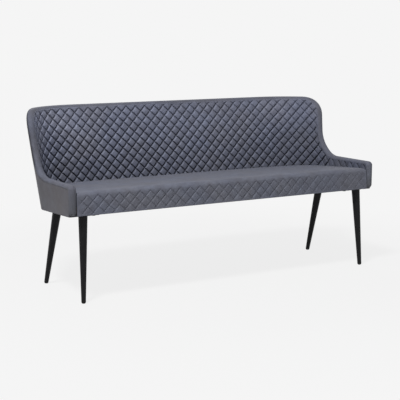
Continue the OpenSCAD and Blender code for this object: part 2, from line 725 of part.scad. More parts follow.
// Lattice columns from the first to the last index, each step wide, with the top edge at inset
module quilted_lining(first, last, step_w, step_h, inset, seam = 0) {
    runs = [for (k = [first:last]) min(k * step_w + (k == first ? seam : 0), run_end)];
    counts = [for (s = runs) count_of_run(s)];
    lows = [for (n = counts) foot_z(n, deck_h, quilt_back_d, 1)];
    tops = [for (n = counts) rim_z(n, inset)];
    starts = [for (z = lows) ceil((z + 4 - diamond_level) / step_h) - 1];
    ends = [for (z = tops) floor((z - 4 - diamond_level) / step_h) + 1];
    function height(i, j) =
        j == starts[i] ? lows[i] : j == ends[i] ? tops[i] : diamond_level + j * step_h;
    front = function (i, j)
        let (z = height(i, j), edge = j == ends[i] ? 0.5 : pillow(runs[i], z - diamond_level))
        wall(counts[i], z, quilt_back_d + lining_t + puff * edge, 1);
    rear = function (i, up) wall(counts[i], up == 1 ? tops[i] : lows[i], quilt_back_d, 1);
    color(quilt_grey) quilt(first, starts, ends, front, rear);
}
// The back's quilting stops at a lattice line near the front ends of its corners
back_column = round((run_back + run_corner) / (diamond_w / 2)) - 6;
module quilted_back() {
    quilted_lining(-back_column, back_column, diamond_w / 2, diamond_h / 2, soft_inset);
}
module quilted_arm() {
    step_w = diamond_w / 4;
    last = floor((run_end - 2) / step_w) + 1;
    quilted_lining(2 * back_column, last, step_w, diamond_h / 4, roll_d + 3 * roll_gap, fit);
}
module front_panel() {
    x1 = arm_span / 2 - arm_t - 5 * fit;
    half = floor(x1 / (diamond_w / 2));
    over = x1 - half * diamond_w / 2 > 6 ? 1 : 0;
    cells = half + over;
    low_h = rail_low;
    high_h = seat_t - edge_r - fit;
    step_h = diamond_h / 2;
    starts = [for (k = [-cells:cells]) 0];
    ends = [for (k = [-cells:cells]) floor((high_h - low_h - 4) / step_h) + 1];
    function x_of(i) = max(-x1, min(x1, (i - cells) * diamond_w / 2));
    function h_of(i, j) = j == ends[i] ? high_h : low_h + j * step_h;
    front = function (i, j)
        let (rise = j == ends[i] ? 0.6 : pillow(x_of(i), h_of(i, j) - low_h))
        [x_of(i), cushion_front + panel_puff * (1 - rise), h_of(i, j)];
    rear = function (i, up) [x_of(i), panel_t + fit, up == 1 ? high_h : low_h];
    color(quilt_grey) seat_frame() quilt(-cells, starts, ends, front, rear);
}

// Shell, padding and covers
module back_shell() {
    half = layer(shell_inset, joint_n, 1);
    color(ply_tan) wall_panel(concat(half, mirrored(half)), ply_d, 0, ply_d + ply_t, 0, rail_low);
}
module arm_panel() {
    color(ply_tan) wall_panel(layer(shell_inset, 3, joint_n), ply_d, 0, ply_d + ply_t, 0, rail_low);
}
module joint_batten() {
    low_side = joint_n + batten_n;
    top = rim_z(low_side, shell_inset);
    color(wood_tan) loft([
        for (n = [low_side, joint_n - batten_n]) [
            wall(n, top - batten_h, core_d, 0), wall(n, top, core_d, 0),
            wall(n, top, core_d + batten_t, 0), wall(n, top - batten_h, core_d + batten_t, 0)
        ]
    ], turned = 2);
}
module back_foam() {
    half = layer(soft_inset, joint_n - batten_n - step_n, 1);
    color(foam_cream)
        wall_panel(concat(half, mirrored(half)), core_d, 0, quilt_back_d - fit, 1, deck_h);
}
module arm_foam() {
    list = layer(soft_inset, 3, joint_n + batten_n + step_n);
    color(foam_cream) wall_panel(list, core_d, 0, quilt_back_d - fit, 1, deck_h);
}
module outside_back() {
    top = back_h - shell_inset;
    color(cover_grey) wall_panel([[1, top], [-1, top]], 0, 0, cover_t, 0, rail_low);
}
module outside_arm() {
    color(cover_grey) wall_panel(layer(shell_inset, 3, 1), 0, 0, cover_t, 0, rail_low);
}
roll_sides = 6;
module edge_roll() {
    section = [
        for (k = [0:roll_sides]) let (a = 180 * k / roll_sides)
            [arm_t / 2 * (1 - cos(a)), roll_d * (1 - sin(a))]
    ];
    color(cover_grey) rim_sweep(section);
}
module rim_welt() {
    r = welt_d / 2;
    section = [
        for (k = [0:5]) [fit + r * (1 - cos(60 * k)), roll_d + fit + r * (1 - sin(60 * k))]
    ];
    color(leg_black) rim_sweep(section);
}

left_of(true) leg(front_foot, front_head, 1);  // leg_front_left
leg(front_foot, front_head, 1);  // leg_front_right
left_of(true) leg(rear_foot, rear_head, -1);  // leg_rear_left
leg(rear_foot, rear_head, -1);  // leg_rear_right
left_of(true) glide(front_foot, front_head);  // glide_front_left
glide(front_foot, front_head);  // glide_front_right
left_of(true) glide(rear_foot, rear_head);  // glide_rear_left
glide(rear_foot, rear_head);  // glide_rear_right
leg_bolts();
tee_nuts();
left_of(true) leg_block(front_head, 1);  // block_front_left
leg_block(front_head, 1);  // block_front_right
left_of(true) leg_block(rear_head, -1);  // block_rear_left
leg_block(rear_head, -1);  // block_rear_right
front_rail();
rear_rail();
left_of(true) side_rail();  // side_rail_left
side_rail();  // side_rail_right
left_of(true) corner_rail();  // corner_rail_left
corner_rail();  // corner_rail_right
stretcher();
bearer(-1);  // bearer_left
bearer(0);  // bearer_middle
bearer(1);  // bearer_right
cross_webbing();
long_webbing();
dust_cover();
seat_foam();
seat_cover();
front_panel();
back_shell();
left_of(true) arm_panel();  // arm_panel_left
arm_panel();  // arm_panel_right
left_of(true) joint_batten();  // joint_batten_left
joint_batten();  // joint_batten_right
back_foam();
left_of(true) arm_foam();  // arm_foam_left
arm_foam();  // arm_foam_right
quilted_back();
left_of(true) quilted_arm();  // quilted_arm_left
quilted_arm();  // quilted_arm_right
outside_back();
left_of(true) outside_arm();  // outside_arm_left
outside_arm();  // outside_arm_right
edge_roll();
rim_welt();
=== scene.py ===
# Dresses the upholstered bench: quilted lining, edge roll, covers, seat pad, underside and legs.
# Metres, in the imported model's frame: +X to the right, the front faces -Y, +Z up.
from math import cos, pi, radians, sin, tan

import bpy
import numpy as np
from mathutils import Euler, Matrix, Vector, noise


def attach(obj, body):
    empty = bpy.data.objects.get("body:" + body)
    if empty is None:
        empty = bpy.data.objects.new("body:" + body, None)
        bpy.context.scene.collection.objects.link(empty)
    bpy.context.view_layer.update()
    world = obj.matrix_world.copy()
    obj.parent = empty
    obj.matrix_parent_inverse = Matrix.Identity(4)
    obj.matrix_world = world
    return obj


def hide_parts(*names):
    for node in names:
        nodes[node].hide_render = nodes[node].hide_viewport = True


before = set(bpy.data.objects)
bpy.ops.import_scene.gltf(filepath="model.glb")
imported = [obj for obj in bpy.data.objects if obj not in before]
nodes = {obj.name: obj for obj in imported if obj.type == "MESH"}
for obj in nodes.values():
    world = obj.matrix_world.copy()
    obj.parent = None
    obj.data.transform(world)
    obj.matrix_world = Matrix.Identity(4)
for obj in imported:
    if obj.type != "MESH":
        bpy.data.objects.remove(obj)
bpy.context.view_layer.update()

# Driving sizes of the bench
BACK_H = 0.806
OVERALL_D = 0.632
ARM_SPAN = 1.630
ARM_H = 0.515
SIDE_DRAW = 0.028
SIDE_FLARE = 0.082
BACK_LEAN = radians(11)
CORNER_R = 0.200
CORNER_OPEN = 0.145
ARM_RUN = 0.266
SWEEP_R = 0.150
WING_R = 0.110
ARM_T = 0.034
BACK_T = 0.060
ROLL_D = 0.015
WELT_D = 0.004
UNDERSIDE_H = 0.382
SEAT_T = 0.102
SEAT_FALL = radians(4)
CROWN = 0.005
EDGE_R = 0.018
# Height of the seat's deck, on which the pad lies, over the underside
DECK_H = 0.056
# How far the lean brings the lining's foot forward at the seat
FOOT_FORWARD = 0.065
# Thickness of a thin cover over the solid that it lies on, and the usual gap between covers
SKIN = 0.0003
GAP = 0.0008
# Height of the waves on the plain cover
WAVE = 0.0008

# Quilting: the diamonds, the depth of the stitch lines on the lining and on the front panel, how
# far the lining's diamonds stand out over its solid, the share of a half diamond in which the
# cloth turns up beside the lines, and the share of the rise that it gains there
DIAMOND_W = 0.0504
DIAMOND_H = 0.0495
DIAMOND_LEVEL = 0.450
PUFF = 0.0095
PANEL_PUFF = 0.0022
DIAMOND_OUT = 0.0012
QUILT_TURN = 0.36
TURN_RISE = 0.68
# Half widths of the dark lines, which are painted shade in the stitched grooves, the hollows
# beside them and the painted highlights, and the distance from a line to its painted highlight, as
# shares of the lines' spacing
RISING_W = 0.088
FALLING_W = 0.060
HOLLOW_W = 0.14
PAINTED_HIGHLIGHT_W = 0.11
PAINTED_HIGHLIGHT_AT = 0.155
# What the leather's colour is multiplied by on a line, as painted shade, and on its painted
# highlight
GROOVE_SHADE_GAIN = (0.09, 0.09, 0.12, 1)
PAINTED_HIGHLIGHT_GAIN = (1.45, 1.45, 1.42, 1)
# How the quilted cloth lies on the shell: moved along and up, stretched and leaned, drawn
# together towards the top, its rows rising to the left
CLOTH_LEVEL = 0.6
CLOTH_ALONG = 0.0378
CLOTH_STRETCH = 1.0025
CLOTH_DRAW = 0.117
CLOTH_LEAN = 0.004
CLOTH_UP = 0.0119
CLOTH_TILT = 0.0158
CLOTH_RISE = 0.0074
# The same round the corners, at these distances from the middle of the back
CORNER_AT = 0.6
CORNER_W = 0.13
CORNER_SLACK = 0.0100
CORNER_EASE = 0.0090
CORNER_DROP = (0.0040, 0.0114)
CORNER_TURN = (0.62, 0.86)
# The same on the arms
ARM_LEVEL = 0.500
ARM_STRETCH = 0.42
ARM_TURN = (0.84, 0.96)
# Where the wings turn forward and where the arms follow, as distances from the middle of the back
WING_AT = (0.62, 0.80)
ON_ARM = (0.86, 0.95)
# The lining's edge below the rim and its foot below the deck
LINING_EDGE = 0.0115
LINING_FOOT = 0.004
# Columns and rows of its mesh, the step between the rows at its back, and half the pad's columns
LINING_COLUMNS = 1401
LINING_ROWS = 181
BACK_ROW_STEP = 12
SEAT_HALF_COLUMNS = 381

# Where the front is, the outer radius of the rim's turn at an arm's front, and the height at
# which the seat meets the back
FRONT_Y = -OVERALL_D / 2
FRONT_R = ROLL_D + WELT_D + SKIN
SEAT_REAR_H = UNDERSIDE_H + SEAT_T - (OVERALL_D - BACK_T - FOOT_FORWARD) * sin(SEAT_FALL)


# The wall's shape, as functions of a count n round the plan, a height z and a depth d
def lift(z):
    """Share of the way from the underside to the top of the back."""
    return (z - UNDERSIDE_H) / (BACK_H - UNDERSIDE_H)


def rear_half(z):
    """Half width of the back at its rear face."""
    return ARM_SPAN / 2 - SIDE_DRAW + SIDE_FLARE * lift(z)


def corner_at(z):
    """Radius of the rear corners in plan."""
    return CORNER_R + CORNER_OPEN * lift(z)


def rear_y(z):
    """Depth of the leaning rear face."""
    return FRONT_Y + OVERALL_D - tan(BACK_LEAN) * (BACK_H - ROLL_D - z)


def swell(z):
    """How much thicker than the arms the back is."""
    return (BACK_T - ARM_T) * (BACK_H - z) / (BACK_H - SEAT_REAR_H)


def wall(n, z, d, lined=0.0):
    """n is 0 in the middle of the back, 1 to 2 round the corner and 3 at the arm's front."""
    n, z, d, lined = np.broadcast_arrays(n, z, d, lined)
    a = np.abs(n)
    back_d = d + lined * swell(z)
    r = corner_at(z) - back_d
    hw = rear_half(z) - d
    fw = ARM_SPAN / 2 - d
    ty = rear_y(z) - back_d - r
    turn = np.clip(a - 1, 0, 1) * pi / 2
    x = np.where(a <= 1, a * (hw - r), hw - r + r * np.sin(turn))
    y = ty + r * np.cos(turn)
    side = a > 2
    x = np.where(side, hw + (fw - hw) * (a - 2), x)
    y = np.where(side, ty + (FRONT_Y - ty) * (a - 2), y)
    return np.stack([np.sign(n) * x, y, z], -1)


def count_at(y, z):
    """The count at which the wall's outer face passes y."""
    ty = rear_y(z) - corner_at(z)
    on_side = 2 + (ty - y) / (ty - FRONT_Y)
    on_corner = 1 + np.arccos(np.clip((y - ty) / corner_at(z), -1, 1)) / (pi / 2)
    return np.where(y <= ty, on_side, on_corner)


def reach(y, z, d, lined=1.0):
    """Half width inside the wall at depth y."""
    back_d = d + lined * swell(z)
    r = corner_at(z) - back_d
    hw = rear_half(z) - d
    fw = ARM_SPAN / 2 - d
    ty = rear_y(z) - back_d - r
    on_side = hw + (fw - hw) * (ty - y) / (ty - FRONT_Y)
    on_corner = hw - r + np.sqrt(np.maximum(0, r * r - (y - ty) ** 2))
    return np.where(y <= ty, on_side, on_corner)


def to_seat(p):
    """Coordinates from the front edge of the sloping underside, y rearward and z upward."""
    y, z = p[..., 1] - FRONT_Y, p[..., 2] - UNDERSIDE_H
    return np.stack([p[..., 0], y * cos(SEAT_FALL) - z * sin(SEAT_FALL),
                     y * sin(SEAT_FALL) + z * cos(SEAT_FALL)], -1)


def from_seat(x, y, z):
    """The way back from the coordinates that to_seat gives."""
    x, y, z = np.broadcast_arrays(x, y, z)
    return np.stack([x, FRONT_Y + y * cos(SEAT_FALL) + z * sin(SEAT_FALL),
                     UNDERSIDE_H - y * sin(SEAT_FALL) + z * cos(SEAT_FALL)], -1)


def foot_z(n, h, d, lined=0.0):
    """Height at which the wall's line of constant n meets the seat frame's level h."""
    y0 = wall(n, UNDERSIDE_H, d, lined)[..., 1]
    slope = (wall(n, UNDERSIDE_H + 0.1, d, lined)[..., 1] - y0) / 0.1
    return UNDERSIDE_H + (h - (y0 - FRONT_Y) * sin(SEAT_FALL)) / (
        cos(SEAT_FALL) + slope * sin(SEAT_FALL))


# The rim's side view, moved in by b
SWEEP_C = (FRONT_Y + ARM_RUN, ARM_H + SWEEP_R)
SWEEP_END_Z = ARM_H + SWEEP_R * (1 - sin(BACK_LEAN))
WING_START_Z = BACK_H - WING_R * (1 - sin(BACK_LEAN))
WING_C = (SWEEP_C[0] + (SWEEP_R + WING_R) * cos(BACK_LEAN)
          + (WING_START_Z - SWEEP_END_Z) * tan(BACK_LEAN), BACK_H - WING_R)


def arc(c, r, a0, a1, steps):
    """Depths and heights of points on an arc."""
    a = np.linspace(a0, a1, steps + 1)
    return np.stack([c[0] + r * np.cos(a), c[1] + r * np.sin(a)], -1)


def rim_line(b, bottom=True):
    """Counts and heights along the right half of the rim, from the arm's front to mid back."""
    bend = max(FRONT_R - b, 0.001)
    start = FRONT_Y + b + bend
    parts = []
    if bottom:
        under = np.linspace(start + 0.012, start, 5)[:-1]
        parts.append(np.stack([under, UNDERSIDE_H + b - (under - start) * tan(SEAT_FALL)], -1))
        parts.append(arc((start, UNDERSIDE_H + b + bend), bend, 1.5 * pi, pi, 8))
    parts.append(arc((start, ARM_H - b - bend), bend, pi, pi / 2, 8))
    level = np.linspace(start, SWEEP_C[0], 42)[1:-1]
    parts.append(np.stack([level, np.full_like(level, ARM_H - b)], -1))
    parts.append(arc(SWEEP_C, SWEEP_R + b, -pi / 2, -BACK_LEAN, 28))
    parts.append(arc(WING_C, WING_R - b, pi - BACK_LEAN, pi / 2, 28))
    side = np.concatenate(parts)
    n = count_at(side[:, 0], side[:, 1])
    n_end = float(n[-1])
    corner = np.linspace(n_end, 1, 31)[1:]
    back = np.linspace(1, 0, 161)[1:]
    n = np.concatenate([n, corner, back])
    z = np.concatenate([side[:, 1], np.full(len(corner) + len(back), BACK_H - b)])
    return n, z


def whole_rim(b):
    """The same for both halves, from the right arm's front to the left one's."""
    n, z = rim_line(b)
    return np.concatenate([n, -n[-2::-1]]), np.concatenate([z, z[-2::-1]])


def rim_z(n, b):
    """Height of the rim, moved in by b, on the line of constant n."""
    rn, rz = rim_line(b, bottom=False)
    return np.interp(np.abs(n), rn[::-1], rz[::-1])


# Lengths along the lining from the middle of the back, at a height between the arms' and its own
RUN_Z = (BACK_H + ARM_H) / 2
RUN_R = corner_at(RUN_Z) - ARM_T - swell(RUN_Z)
RUN_BACK = rear_half(RUN_Z) - ARM_T - RUN_R
RUN_CORNER = RUN_R * pi / 2
RUN_SIDE = rear_y(RUN_Z) - ARM_T - swell(RUN_Z) - RUN_R - FRONT_Y
RUN = RUN_BACK + RUN_CORNER + RUN_SIDE


def count_of_run(s):
    """The count at the distance s along the lining, measured at the height RUN_Z."""
    a = np.abs(s)
    n = np.where(a <= RUN_BACK, a / RUN_BACK, np.where(
        a <= RUN_BACK + RUN_CORNER, 1 + (a - RUN_BACK) / RUN_CORNER,
        2 + (a - RUN_BACK - RUN_CORNER) / RUN_SIDE))
    return np.sign(s) * n


def run_at(n, z):
    """Distance along the lining from the middle of the back, measured at the height z."""
    a = np.abs(n)
    r = corner_at(z) - ARM_T - swell(z)
    hw = rear_half(z) - ARM_T
    back, corner = hw - r, r * pi / 2
    side = rear_y(z) - ARM_T - swell(z) - r - FRONT_Y
    run = np.where(a <= 1, a * back, np.where(
        a <= 2, back + (a - 1) * corner, back + corner + (a - 2) * side))
    return np.sign(n) * run


# Mesh helpers
def smoothstep(x, a, b):
    """0 up to a, 1 from b on, and a smooth rise between them."""
    t = np.clip((x - a) / (b - a), 0, 1)
    return t * t * (3 - 2 * t)


def soft_noise(p, scale, seed=0.0):
    """Smooth noise from -1 to 1 at each point."""
    flat = p.reshape(-1, 3)
    out = [noise.noise(Vector((q[0] * scale + seed, q[1] * scale, q[2] * scale))) for q in flat]
    return np.array(out).reshape(p.shape[:-1])


def mesh_object(name, verts, faces, uv=None, tone=None):
    """A smooth mesh, with one map coordinate and one tone for each vertex if they are given."""
    mesh = bpy.data.meshes.new(name)
    mesh.from_pydata(verts.tolist(), [], faces)
    if uv is not None:
        layer = mesh.uv_layers.new(name="UVMap")
        index = np.empty(len(mesh.loops), dtype=np.int32)
        mesh.loops.foreach_get("vertex_index", index)
        layer.data.foreach_set("uv", uv[index].astype(np.float32).ravel())
    if tone is not None:
        layer = mesh.color_attributes.new("Tone", "FLOAT_COLOR", "POINT")
        rgba = np.concatenate([tone, np.ones((len(tone), 1))], 1)
        layer.data.foreach_set("color", rgba.astype(np.float32).ravel())
    mesh.validate()
    mesh.polygons.foreach_set("use_smooth", [True] * len(mesh.polygons))
    obj = bpy.data.objects.new(name, mesh)
    bpy.context.scene.collection.objects.link(obj)
    return obj


def grid_faces(rows, cols, wrap=False, flip=False):
    """Quads over rows of points, which wrap joins into rings."""
    faces = []
    for i in range(rows - 1):
        for j in range(cols if wrap else cols - 1):
            k = (j + 1) % cols
            f = (i * cols + j, i * cols + k, (i + 1) * cols + k, (i + 1) * cols + j)
            faces.append(f[::-1] if flip else f)
    return faces


def grid_object(name, points, uv=None, tone=None, wrap=False, flip=False, caps=False):
    """A mesh over rows of points, which wrap joins into rings and caps closes at both ends."""
    rows, cols = points.shape[:2]
    faces = grid_faces(rows, cols, wrap, flip)
    if caps:
        first = tuple(range(cols))
        last = tuple((rows - 1) * cols + k for k in range(cols))
        faces += [first if flip else first[::-1], last[::-1] if flip else last]
    flat_uv = None if uv is None else uv.reshape(-1, 2)
    flat_tone = None if tone is None else tone.reshape(-1, 3)
    return mesh_object(name, points.reshape(-1, 3), faces, flat_uv, flat_tone)


def dressed(obj, material, slot, *replaced):
    """Gives a piece its material and body, and hides the solids that it stands for. The slot is
    not used.
    """
    obj.data.materials.append(material)
    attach(obj, "root")
    if replaced:
        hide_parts(*replaced)


# Materials
def new_material(name):
    mat = bpy.data.materials.new(name)
    mat.use_nodes = True
    tree = mat.node_tree
    return mat, tree, tree.nodes["Principled BSDF"]


def add(tree, kind, **values):
    """Adds a node. Each value is for its input of that name, or else for its setting."""
    node = tree.nodes.new(kind)
    for key, value in values.items():
        if key in node.inputs:
            node.inputs[key].default_value = value
        else:
            setattr(node, key, value)
    return node


def ramp(tree, fac, stops):
    node = tree.nodes.new("ShaderNodeValToRGB")
    node.color_ramp.elements[0].position, node.color_ramp.elements[0].color = stops[0]
    node.color_ramp.elements[1].position, node.color_ramp.elements[1].color = stops[-1]
    for position, color in stops[1:-1]:
        element = node.color_ramp.elements.new(position)
        element.color = color
    tree.links.new(fac, node.inputs["Fac"])
    return node


def srgb(hex_code):
    """The linear colour of a hex code."""
    values = [int(hex_code[k:k + 2], 16) / 255 for k in (0, 2, 4)]
    return (*[v / 12.92 if v <= 0.04045 else ((v + 0.055) / 1.055) ** 2.4 for v in values], 1.0)


def mix_color(tree, blend, fac, a, b):
    """Blends two colours. The factor and the colours are values or other nodes' outputs."""
    node = tree.nodes.new("ShaderNodeMix")
    node.data_type = "RGBA"
    node.blend_type = blend
    # The node has sockets of the same names for each type of data: 6, 7 and 2 are for colours
    for socket, value in ((node.inputs["Factor"], fac), (node.inputs[6], a), (node.inputs[7], b)):
        if hasattr(value, "links"):
            tree.links.new(value, socket)
        else:
            socket.default_value = value
    return node.outputs[2]


def vary_roughness(tree, shader, fac, low, high):
    """Makes the roughness follow a pattern from 0 to 1."""
    span = add(tree, "ShaderNodeMapRange")
    span.inputs["To Min"].default_value = low
    span.inputs["To Max"].default_value = high
    tree.links.new(fac, span.inputs["Value"])
    tree.links.new(span.outputs["Result"], shader.inputs["Roughness"])


def add_bump(tree, shader, height, strength, distance, under=None, invert=False):
    """Roughens the shader's surface by a height, over another bump's normal if one is given."""
    bump = add(tree, "ShaderNodeBump", Strength=strength, Distance=distance, invert=invert)
    tree.links.new(height, bump.inputs["Height"])
    if under is not None:
        tree.links.new(under, bump.inputs["Normal"])
    tree.links.new(bump.outputs["Normal"], shader.inputs["Normal"])
    return bump.outputs["Normal"]


def seen_rays(tree):
    """1 for rays from the camera and for those that a glossy or a clear surface sends on."""
    path = add(tree, "ShaderNodeLightPath")
    seen = add(tree, "ShaderNodeMath", operation="ADD")
    tree.links.new(path.outputs["Is Camera Ray"], seen.inputs[0])
    tree.links.new(path.outputs["Is Glossy Ray"], seen.inputs[1])
    also = add(tree, "ShaderNodeMath", operation="ADD", use_clamp=True)
    tree.links.new(seen.outputs["Value"], also.inputs[0])
    tree.links.new(path.outputs["Is Transmission Ray"], also.inputs[1])
    return also.outputs["Value"]


def stitch_lines(tree, share, rising):
    """Closeness to the rising or the falling lines, 1 on a line, from the cloth's coordinates:
    for the line of painted shade in the groove, the wider hollow that it draws in, and the painted
    highlight beside it."""
    parts = add(tree, "ShaderNodeSeparateXYZ")
    tree.links.new(add(tree, "ShaderNodeUVMap").outputs["UV"], parts.inputs["Vector"])
    line = add(tree, "ShaderNodeMath", operation="SUBTRACT" if rising else "ADD")
    tree.links.new(parts.outputs["X"], line.inputs[0])
    tree.links.new(parts.outputs["Y"], line.inputs[1])
    out = []
    for beside, width in ((0.0, RISING_W if rising else FALLING_W), (0.0, HOLLOW_W),
                          (PAINTED_HIGHLIGHT_AT, PAINTED_HIGHLIGHT_W)):
        moved = add(tree, "ShaderNodeMath", operation="SUBTRACT")
        moved.inputs[1].default_value = beside
        tree.links.new(line.outputs["Value"], moved.inputs[0])
        away = add(tree, "ShaderNodeMath", operation="PINGPONG")
        away.inputs[1].default_value = 0.5
        tree.links.new(moved.outputs["Value"], away.inputs[0])
        near = add(tree, "ShaderNodeMapRange", interpolation_type="SMOOTHSTEP")
        near.inputs["From Max"].default_value = width
        near.inputs["To Min"].default_value = 1.0
        near.inputs["To Max"].default_value = 0.0
        tree.links.new(away.outputs["Value"], near.inputs["Value"])
        held = add(tree, "ShaderNodeMath", operation="MULTIPLY")
        tree.links.new(near.outputs["Result"], held.inputs[0])
        tree.links.new(share, held.inputs[1])
        out.append(held.outputs["Value"])
    return out


def faux_leather(name, dark, light, roughness=0.62, toned=False, quilted=False):
    """Brushed faux leather: soft mottling, fine pores and a little sheen. A toned piece's colour
    is multiplied by its Tone, which carries painted shade; a quilted one's Tone carries painted
    light and shade and the strength of its stitch lines, which are painted shade in the grooves
    with a painted highlight beside the rising ones."""
    mat, tree, shader = new_material(name)
    coords = add(tree, "ShaderNodeTexCoord").outputs["Object"]
    cloud = add(tree, "ShaderNodeTexNoise", Scale=26.0, Detail=6.0, Roughness=0.62)
    fleck = add(tree, "ShaderNodeTexNoise", Scale=210.0, Detail=3.0, Roughness=0.6)
    pores = add(tree, "ShaderNodeTexVoronoi", Scale=620.0)
    for node in (cloud, fleck, pores):
        tree.links.new(coords, node.inputs["Vector"])
    base = ramp(tree, cloud.outputs["Fac"], [(0.32, dark), (0.70, light)]).outputs["Color"]
    spots = ramp(tree, fleck.outputs["Fac"], [(0.35, (0.84, 0.84, 0.84, 1)), (0.7, (1, 1, 1, 1))])
    color = mix_color(tree, "MULTIPLY", 0.7, base, spots.outputs["Color"])
    drift = add(tree, "ShaderNodeTexNoise", Scale=6.5, Detail=3.0, Roughness=0.55)
    tree.links.new(coords, drift.inputs["Vector"])
    hue = ramp(tree, drift.outputs["Fac"],
               [(0.36, (1.0, 0.965, 0.90, 1)), (0.64, (0.93, 0.96, 1, 1))])
    color = mix_color(tree, "MULTIPLY", 0.6, color, hue.outputs["Color"])
    fine = add_bump(tree, shader, pores.outputs["Distance"], 0.22, 0.0006)
    broad = add_bump(tree, shader, fleck.outputs["Fac"], 0.25, 0.0015, fine)
    vary_roughness(tree, shader, cloud.outputs["Fac"], roughness - 0.07, roughness + 0.09)
    if toned or quilted:
        tone = add(tree, "ShaderNodeVertexColor", layer_name="Tone").outputs["Color"]
    if toned:
        color = mix_color(tree, "MULTIPLY", 1.0, color, tone)
    if quilted:
        held = add(tree, "ShaderNodeSeparateColor")
        tree.links.new(tone, held.inputs["Color"])
        color = mix_color(tree, "MULTIPLY", 1.0, color, held.outputs["Red"])
        rising, rising_hollow, painted_highlight = stitch_lines(tree, held.outputs["Green"], True)
        falling, falling_hollow, _ = stitch_lines(tree, held.outputs["Blue"], False)
        # Painted highlight beside the rising lines, and painted shade along the grooves of both
        # lines
        color = mix_color(tree, "MULTIPLY", painted_highlight, color, PAINTED_HIGHLIGHT_GAIN)
        for line in (rising, falling):
            color = mix_color(tree, "MULTIPLY", line, color, GROOVE_SHADE_GAIN)
        drawn = add(tree, "ShaderNodeMath", operation="MAXIMUM")
        tree.links.new(rising_hollow, drawn.inputs[0])
        tree.links.new(falling_hollow, drawn.inputs[1])
        add_bump(tree, shader, drawn.outputs["Value"], 0.8, 0.0060, broad, invert=True)
    tree.links.new(color, shader.inputs["Base Color"])
    shader.inputs["Specular IOR Level"].default_value = 0.14
    shader.inputs["Sheen Weight"].default_value = 0.05
    shader.inputs["Sheen Roughness"].default_value = 0.5
    return mat


def coated_metal(name, color, roughness, metallic=0.0, grain=300.0):
    """Metal or plastic with a fine speckle in its colour, gloss and surface."""
    mat, tree, shader = new_material(name)
    coords = add(tree, "ShaderNodeTexCoord").outputs["Object"]
    speck = add(tree, "ShaderNodeTexNoise", Scale=grain, Detail=4.0)
    tree.links.new(coords, speck.inputs["Vector"])
    dim = tuple(0.82 * c for c in color[:3]) + (1.0,)
    tint = ramp(tree, speck.outputs["Fac"], [(0.35, dim), (0.7, color)])
    tree.links.new(tint.outputs["Color"], shader.inputs["Base Color"])
    vary_roughness(tree, shader, speck.outputs["Fac"], roughness - 0.05, roughness + 0.08)
    add_bump(tree, shader, speck.outputs["Fac"], 0.12, 0.0004)
    shader.inputs["Metallic"].default_value = metallic
    shader.inputs["Specular IOR Level"].default_value = 0.11
    return mat


def timber(name, dark, light):
    """Plain wood with its grain along X."""
    mat, tree, shader = new_material(name)
    coords = add(tree, "ShaderNodeTexCoord").outputs["Object"]
    stretch = add(tree, "ShaderNodeMapping")
    stretch.inputs["Scale"].default_value = (3.0, 40.0, 40.0)
    grain = add(tree, "ShaderNodeTexNoise", Scale=3.0, Detail=8.0, Distortion=0.6)
    tree.links.new(coords, stretch.inputs["Vector"])
    tree.links.new(stretch.outputs["Vector"], grain.inputs["Vector"])
    tint = ramp(tree, grain.outputs["Fac"], [(0.3, dark), (0.7, light)])
    tree.links.new(tint.outputs["Color"], shader.inputs["Base Color"])
    shader.inputs["Roughness"].default_value = 0.7
    add_bump(tree, shader, grain.outputs["Fac"], 0.2, 0.0008)
    return mat


def woven(name, dark, light, pitch=0.0012):
    """Cloth of crossing threads, which are coarser at a larger pitch."""
    mat, tree, shader = new_material(name)
    coords = add(tree, "ShaderNodeTexCoord").outputs["Object"]
    warp, weft = [add(tree, "ShaderNodeTexWave", wave_type="BANDS", bands_direction=axis,
                      Scale=1 / pitch / 6) for axis in "XY"]
    for node in (warp, weft):
        tree.links.new(coords, node.inputs["Vector"])
    threads = mix_color(tree, "MULTIPLY", 1.0, warp.outputs["Color"], weft.outputs["Color"])
    tint = ramp(tree, threads, [(0.0, dark), (1.0, light)])
    tree.links.new(tint.outputs["Color"], shader.inputs["Base Color"])
    shader.inputs["Roughness"].default_value = 0.9
    add_bump(tree, shader, threads, 0.4, 0.0004)
    return mat


COVER = faux_leather("outside_leather", srgb("56555c"), srgb("65646b"))
LINING = faux_leather("quilted_leather", srgb("686b7b"), srgb("7d8193"), quilted=True)
SEAT = faux_leather("seat_leather", srgb("636571"), srgb("737683"), quilted=True)
# The roll's Tone carries painted shade
ROLL = faux_leather("roll_leather", srgb("5b5d69"), srgb("6a6c79"), toned=True)
WELT = faux_leather("welt_leather", srgb("4d4f57"), srgb("5d5e67"))
# Dark leather for the small pieces in the gaps, standing in for the shade there
GAP_SHADE_LEATHER = faux_leather("gap_shade_leather", srgb("38383d"), srgb("49494e"))
LEG_BLACK = coated_metal("satin_black", (0.0115, 0.0115, 0.0125, 1), 0.42)
GLIDE_BLACK = coated_metal("matt_black_plastic", (0.014, 0.014, 0.014, 1), 0.6)
BLACK_OXIDE = coated_metal("black_oxide", (0.020, 0.020, 0.021, 1), 0.5, 0.6, grain=900.0)
ZINC = coated_metal("zinc_plate", (0.55, 0.56, 0.58, 1), 0.35, 1.0, grain=900.0)
WOOD = timber("plain_timber", (0.45, 0.29, 0.14, 1), (0.62, 0.44, 0.24, 1))
CLOTH = woven("dust_cloth", (0.008, 0.008, 0.008, 1), (0.035, 0.035, 0.035, 1))
FOAM = woven("foam_skin", (0.62, 0.58, 0.44, 1), (0.75, 0.71, 0.58, 1), pitch=0.004)


